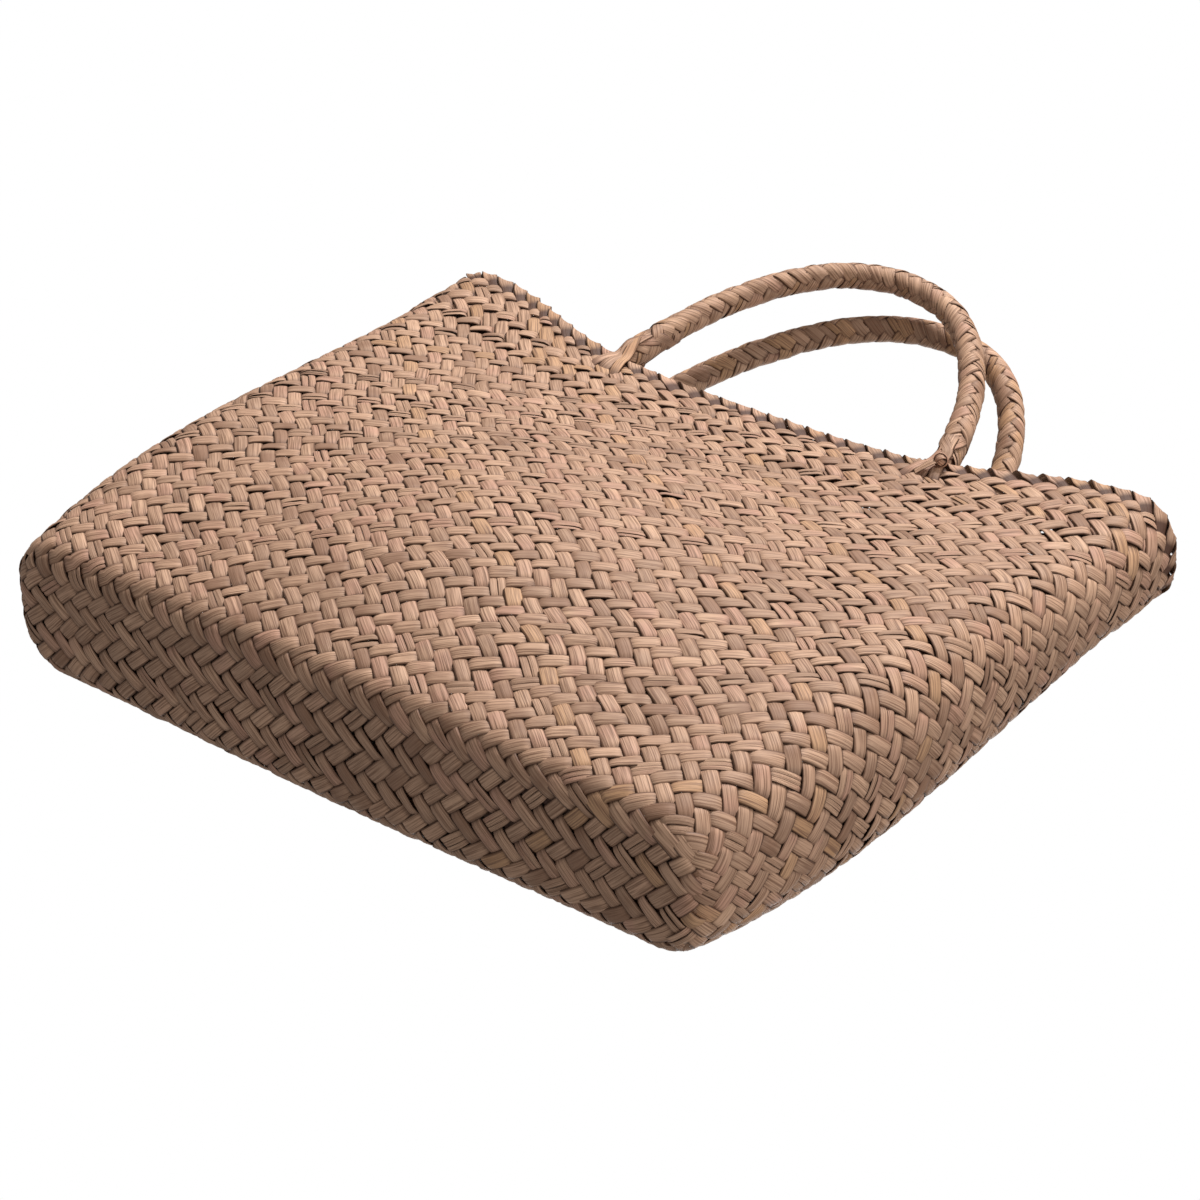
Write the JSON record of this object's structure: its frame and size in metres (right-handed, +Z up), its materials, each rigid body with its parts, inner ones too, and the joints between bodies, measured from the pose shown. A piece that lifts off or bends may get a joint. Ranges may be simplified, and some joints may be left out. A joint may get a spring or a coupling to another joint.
{
  "type": "plaited tote basket",
  "caption": "Flat-sided twill-plaited sedge tote basket, closed base and open mouth, with a pair of round plaited carrying handles that fold outward.",
  "frame": {"origin": "centre of the base at floor level, under the middle of the bounding box", "axes": "+Z up from the base to the mouth and handles, +X along the width, -Y towards the front wall, the one seen from the front"},
  "size_m": [0.3776, 0.097, 0.3783],
  "materials": {
    "sedge_wall": "dry matte plant fibre, flat strands in a slanting twill",
    "sedge_rim": "dry matte plant fibre, strand ends folded over",
    "sedge_plait": "dry matte plant fibre, plaited strands",
    "sedge_core": "bundled dry stems",
    "sedge_knob": "rolled strand end"
  },
  "bodies": {
    "basket": {"woven_body": "sedge_wall", "folded_rim": "sedge_rim", "front_end_knob": "sedge_knob", "front_left_outer_tail": "sedge_plait", "front_left_inner_tail": "sedge_plait", "front_right_outer_tail": "sedge_plait", "front_right_inner_tail": "sedge_plait", "rear_left_outer_tail": "sedge_plait", "rear_left_inner_tail": "sedge_plait", "rear_right_outer_tail": "sedge_plait", "rear_right_inner_tail": "sedge_plait"},
    "front_handle": {"front_handle_core": "sedge_core", "front_handle_plait": "sedge_plait", "front_left_turns": "sedge_plait", "front_right_turns": "sedge_plait"},
    "rear_handle": {"rear_handle_core": "sedge_core", "rear_handle_plait": "sedge_plait", "rear_left_turns": "sedge_plait", "rear_right_turns": "sedge_plait"}
  },
  "joints": [
    {"name": "front_handle_fold", "type": "hinge", "parent": "basket", "child": "front_handle", "pos_m": [0.006, -0.01732, 0.28494], "axis": [1, 0, 0], "range_deg": [-2, 66]},
    {"name": "rear_handle_fold", "type": "hinge", "parent": "basket", "child": "rear_handle", "pos_m": [0.008, 0.01768, 0.28754], "axis": [1, 0, 0], "range_deg": [-102, 0]}
  ]
}
